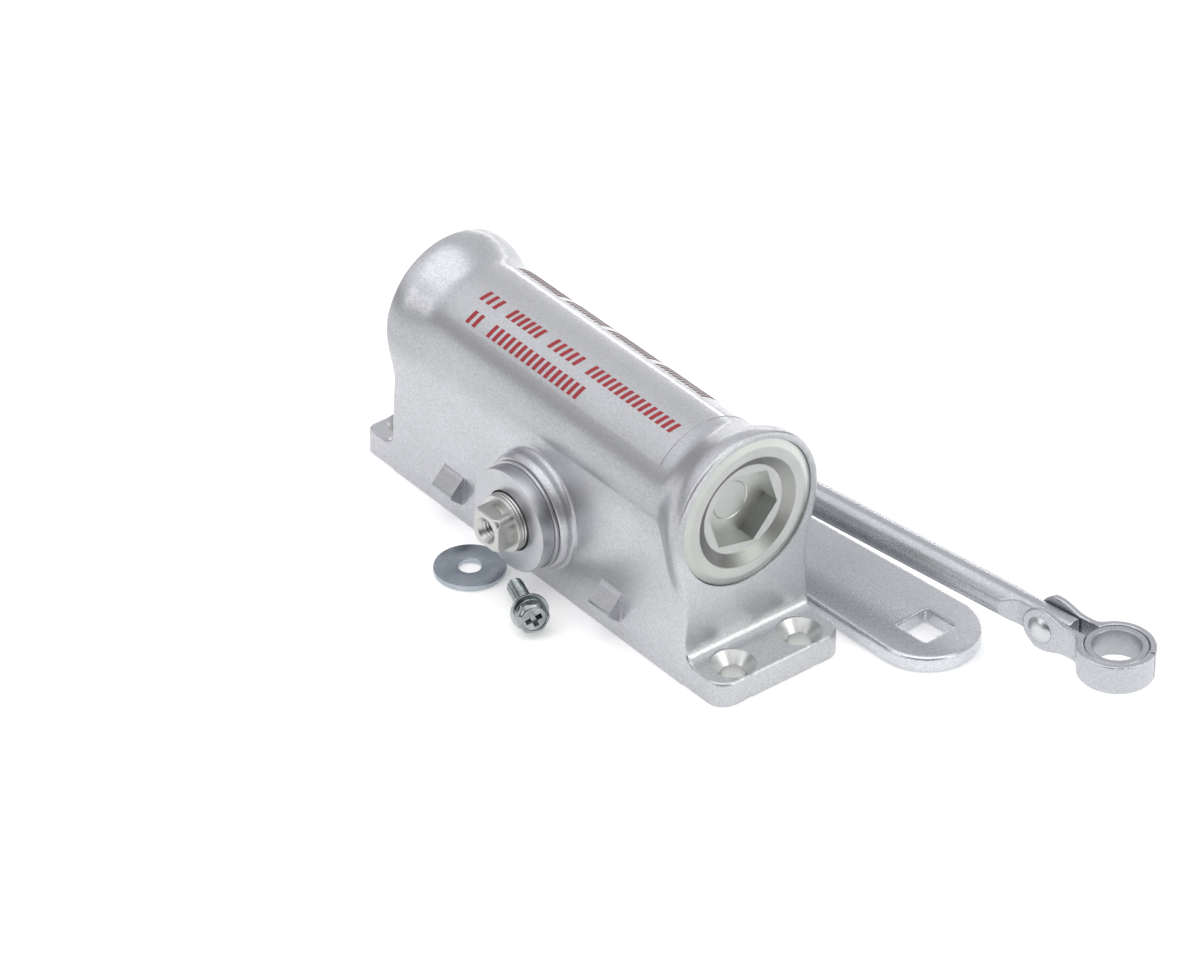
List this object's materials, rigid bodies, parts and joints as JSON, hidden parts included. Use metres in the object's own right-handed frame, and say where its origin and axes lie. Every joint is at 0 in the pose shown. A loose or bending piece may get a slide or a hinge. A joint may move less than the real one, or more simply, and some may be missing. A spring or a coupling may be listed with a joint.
{
  "type": "door closer",
  "caption": "Surface-mounted hydraulic door closer with a square-headed spindle, a folded two-piece arm and its loose spindle screw and washer.",
  "frame": {"origin": "centre of the flat mounting face, midway between the two end walls of the body", "axes": "+X along the barrel towards the end plug with the exposed socket, -Y towards the side the spindle comes out of, +Z away from the mounting face"},
  "size_m": [0.1928, 0.0926, 0.0583],
  "materials": {
    "body_paint": "satin silver metallic paint",
    "arm_paint": "satin silver metallic paint",
    "plug_steel": "turned and zinc plated",
    "cap_metal": "turned",
    "spindle_steel": "ground bare steel",
    "zinc_steel": "bright bluish zinc plate",
    "piston_iron": "machined",
    "spring_steel": "oiled spring steel",
    "bearing_steel": "polished",
    "bush_bronze": "sintered",
    "valve_brass": "turned",
    "seal_rubber": "matte",
    "ring_plastic": "filled polymer",
    "label_print": "clear satin film with plain printed bars"
  },
  "bodies": {
    "closer_body": {"body_casting": "body_paint", "right_end_plug": "plug_steel", "left_end_plug": "plug_steel", "right_plug_seal": "seal_rubber", "left_plug_seal": "seal_rubber", "closing_spring": "spring_steel", "front_bearing": "bush_bronze", "rear_bearing": "bush_bronze", "spindle_seal": "seal_rubber", "spindle_cap": "cap_metal", "cap_seal": "seal_rubber", "valve_seals": "seal_rubber", "label_film": "label_print"},
    "piston_group": {"piston": "piston_iron", "piston_ring": "ring_plastic", "check_ball": "bearing_steel", "check_retainer": "spindle_steel"},
    "spindle": {"pinion_spindle": "spindle_steel"},
    "closing_valve_screw": {"closing_valve": "valve_brass"},
    "latching_valve_screw": {"latching_valve": "valve_brass"},
    "main_arm_group": {"main_arm": "arm_paint", "elbow_washer": "zinc_steel"},
    "forearm": {"forearm_rod": "arm_paint"},
    "eye": {"knuckle_strap": "arm_paint", "eye_bushing": "arm_paint", "knuckle_rivet": "arm_paint"},
    "loose_washer": {"spindle_washer": "zinc_steel"},
    "loose_screw": {"spindle_screw": "zinc_steel", "lock_washer": "zinc_steel", "screw_washer": "zinc_steel"}
  },
  "joints": [
    {"name": "spindle_turn", "type": "hinge", "parent": "closer_body", "child": "spindle", "pos_m": [0, 0, 0.018], "axis": [0, 1, 0], "range_deg": [0, 115]},
    {"name": "piston_travel", "type": "slide", "parent": "closer_body", "child": "piston_group", "axis": [1, 0, 0], "range_m": [0, 0.0188], "deforming": ["closing_spring"]},
    {"name": "closing_valve_turn", "type": "hinge", "parent": "closer_body", "child": "closing_valve_screw", "pos_m": [-0.045, -0.007, 0.0124], "axis": [1, 0, 0], "range_deg": [-180, 180]},
    {"name": "latching_valve_turn", "type": "hinge", "parent": "closer_body", "child": "latching_valve_screw", "pos_m": [-0.045, 0.007, 0.0124], "axis": [1, 0, 0], "range_deg": [-180, 180]},
    {"name": "arm_lift", "type": "slide", "parent": "closer_body", "child": "main_arm_group", "axis": [0, 0, 1], "range_m": [0, 0.06]},
    {"name": "elbow_turn", "type": "hinge", "parent": "main_arm_group", "child": "forearm", "pos_m": [-0.01633, 0.0278, 0.004], "axis": [0, 0, 1], "range_deg": [-5, 160]},
    {"name": "knuckle_tilt", "type": "hinge", "parent": "forearm", "child": "eye", "pos_m": [0.10244, 0.04491, 0.0167], "axis": [-0.1426, 0.9898, 0], "range_deg": [-60, 60]},
    {"name": "washer_slide", "type": "slide", "parent": "closer_body", "child": "loose_washer", "axis": [0, -1, 0], "range_m": [0, 0.03]},
    {"name": "screw_slide", "type": "slide", "parent": "closer_body", "child": "loose_screw", "axis": [0, -1, 0], "range_m": [0, 0.03]}
  ],
  "couplings": [
    {"joint": "spindle_turn", "follows": "piston_travel", "rad_per_m": 106.67}
  ]
}
